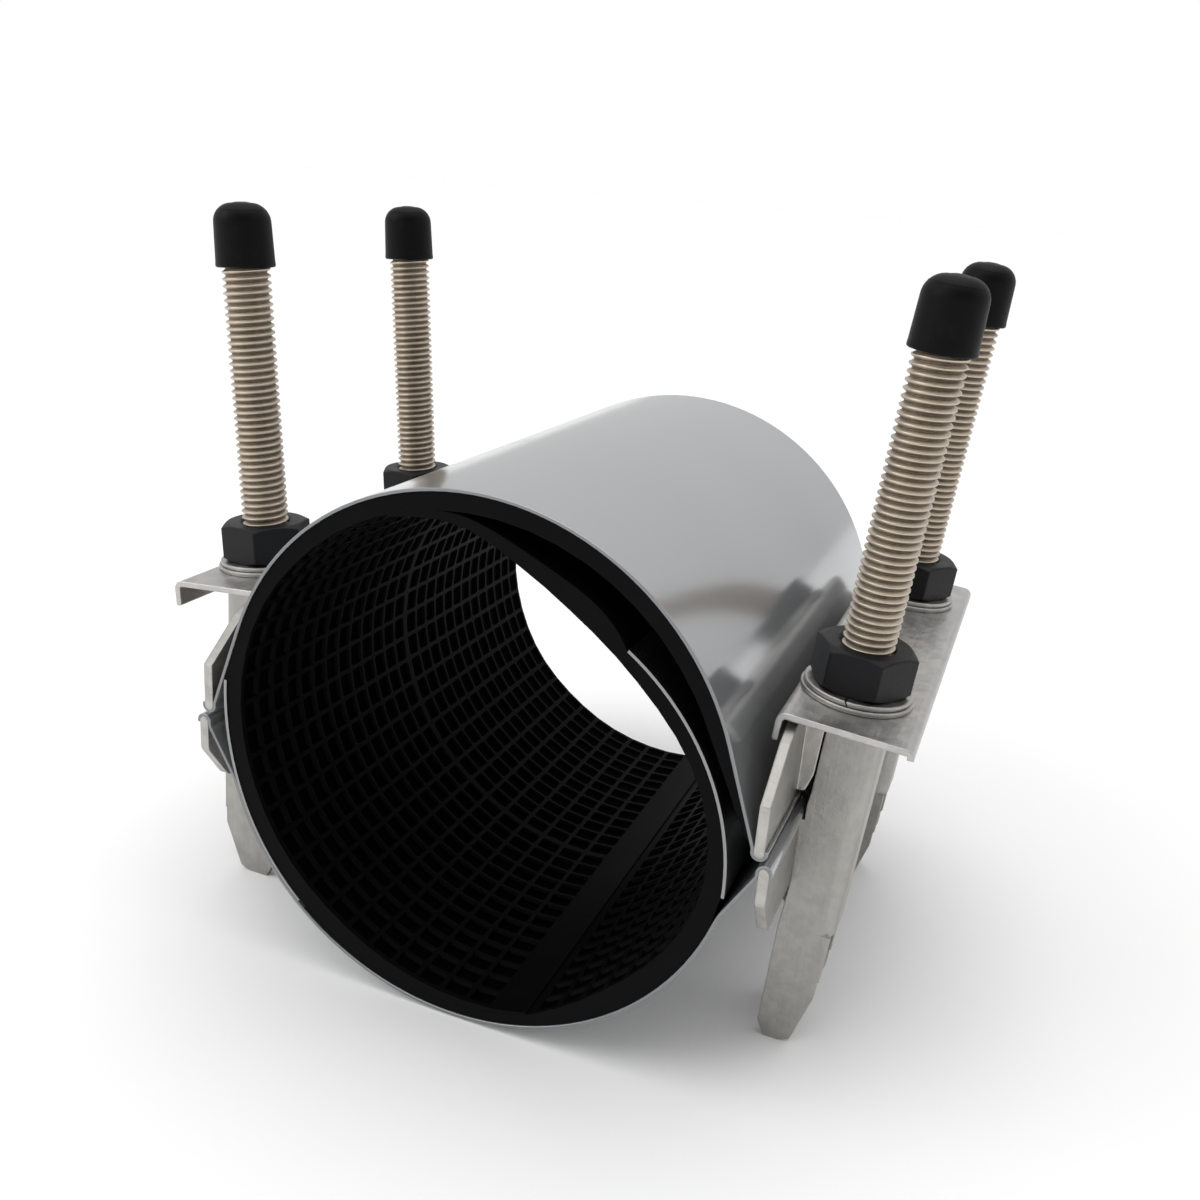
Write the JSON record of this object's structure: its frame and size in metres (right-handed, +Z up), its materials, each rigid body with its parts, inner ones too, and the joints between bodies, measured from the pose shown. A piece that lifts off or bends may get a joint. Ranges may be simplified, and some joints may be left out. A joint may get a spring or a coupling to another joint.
{
  "type": "pipe repair clamp",
  "caption": "Split stainless sleeve with rubber mats, drawn closed round a leaking pipe by tall studs, nuts and side bars.",
  "frame": {"origin": "on the pipe axis, at the middle of the sleeve's length", "axes": "+Y along the pipe axis away from the viewer of the picture, +Z up, the way the upper half lifts off, +X towards the side where the lower mat's tail sags into the bore"},
  "size_m": [0.2512, 0.206, 0.2439],
  "materials": {
    "shell": "satin stainless sheet",
    "rubber": "matt black with a moulded waffle face",
    "bridge": "thin bright stainless sheet",
    "lug": "stainless plate, as rolled",
    "bracket": "bent stainless channel, as rolled",
    "bar": "bent stainless bar, brushed",
    "stud": "warm nickel-toned threaded rod",
    "washer": "bright stainless",
    "nut": "black anti-seize coating, low gloss",
    "cap": "soft black vinyl"
  },
  "bodies": {
    "lower_half": {"lower_shell": "shell", "lower_gasket": "rubber", "bridge_plate_right": "bridge", "lower_lug_right": "lug", "lower_lug_left": "lug", "stud_bracket_right_near": "bracket", "stud_right_near": "stud", "stud_bracket_right_far": "bracket", "stud_right_far": "stud", "stud_bracket_left_near": "bracket", "stud_left_near": "stud", "stud_bracket_left_far": "bracket", "stud_left_far": "stud"},
    "upper_half": {"upper_shell": "shell", "upper_gasket": "rubber", "bridge_plate_left": "bridge", "upper_lug_right": "lug", "upper_lug_left": "lug"},
    "right_bar": {"receiver_bar_right": "bar", "flat_washer_right_near": "washer", "top_washer_right_near": "washer", "flat_washer_right_far": "washer", "top_washer_right_far": "washer"},
    "left_bar": {"receiver_bar_left": "bar", "flat_washer_left_near": "washer", "top_washer_left_near": "washer", "flat_washer_left_far": "washer", "top_washer_left_far": "washer"},
    "nut_right_near": {"nut_right_near": "nut"},
    "cap_right_near": {"stud_cap_right_near": "cap"},
    "nut_right_far": {"nut_right_far": "nut"},
    "cap_right_far": {"stud_cap_right_far": "cap"},
    "nut_left_near": {"nut_left_near": "nut"},
    "cap_left_near": {"stud_cap_left_near": "cap"},
    "nut_left_far": {"nut_left_far": "nut"},
    "cap_left_far": {"stud_cap_left_far": "cap"}
  },
  "joints": [
    {"name": "bar_climb_right", "type": "slide", "parent": "lower_half", "child": "right_bar", "axis": [0.0755, 0, 0.9971], "range_m": [0, 0.06927]},
    {"name": "bar_climb_left", "type": "slide", "parent": "lower_half", "child": "left_bar", "axis": [-0.0755, 0, 0.9971], "range_m": [0, 0.06928]},
    {"name": "upper_half_lift", "type": "slide", "parent": "lower_half", "child": "upper_half", "axis": [0, 0, 1], "range_m": [0, 0.02772]},
    {"name": "nut_turn_right_near", "type": "hinge", "parent": "right_bar", "child": "nut_right_near", "pos_m": [0.10622, -0.0529, 0.04248], "axis": [0.0755, 0, 0.9971], "range_deg": [0, 10802]},
    {"name": "nut_turn_right_far", "type": "hinge", "parent": "right_bar", "child": "nut_right_far", "pos_m": [0.10622, 0.0529, 0.04248], "axis": [0.0755, 0, 0.9971], "range_deg": [0, 10802]},
    {"name": "nut_turn_left_near", "type": "hinge", "parent": "left_bar", "child": "nut_left_near", "pos_m": [-0.10622, -0.0529, 0.04248], "axis": [-0.0755, 0, 0.9971], "range_deg": [0, 10802]},
    {"name": "nut_turn_left_far", "type": "hinge", "parent": "left_bar", "child": "nut_left_far", "pos_m": [-0.10622, 0.0529, 0.04248], "axis": [-0.0755, 0, 0.9971], "range_deg": [0, 10802]},
    {"name": "cap_pull_right_near", "type": "slide", "parent": "lower_half", "child": "cap_right_near", "axis": [0.0755, 0, 0.9971], "range_m": [0, 0.03]},
    {"name": "cap_pull_right_far", "type": "slide", "parent": "lower_half", "child": "cap_right_far", "axis": [0.0755, 0, 0.9971], "range_m": [0, 0.03]},
    {"name": "cap_pull_left_near", "type": "slide", "parent": "lower_half", "child": "cap_left_near", "axis": [-0.0755, 0, 0.9971], "range_m": [0, 0.03]},
    {"name": "cap_pull_left_far", "type": "slide", "parent": "lower_half", "child": "cap_left_far", "axis": [-0.0755, 0, 0.9971], "range_m": [0, 0.03]}
  ],
  "couplings": [
    {"joint": "bar_climb_left", "follows": "bar_climb_right", "ratio": 1},
    {"joint": "upper_half_lift", "follows": "bar_climb_right", "ratio": 0.4},
    {"joint": "nut_turn_right_near", "follows": "bar_climb_right", "rad_per_m": 2721.1},
    {"joint": "nut_turn_right_far", "follows": "bar_climb_right", "rad_per_m": 2721.1},
    {"joint": "nut_turn_left_near", "follows": "bar_climb_right", "rad_per_m": 2721.1},
    {"joint": "nut_turn_left_far", "follows": "bar_climb_right", "rad_per_m": 2721.1}
  ]
}
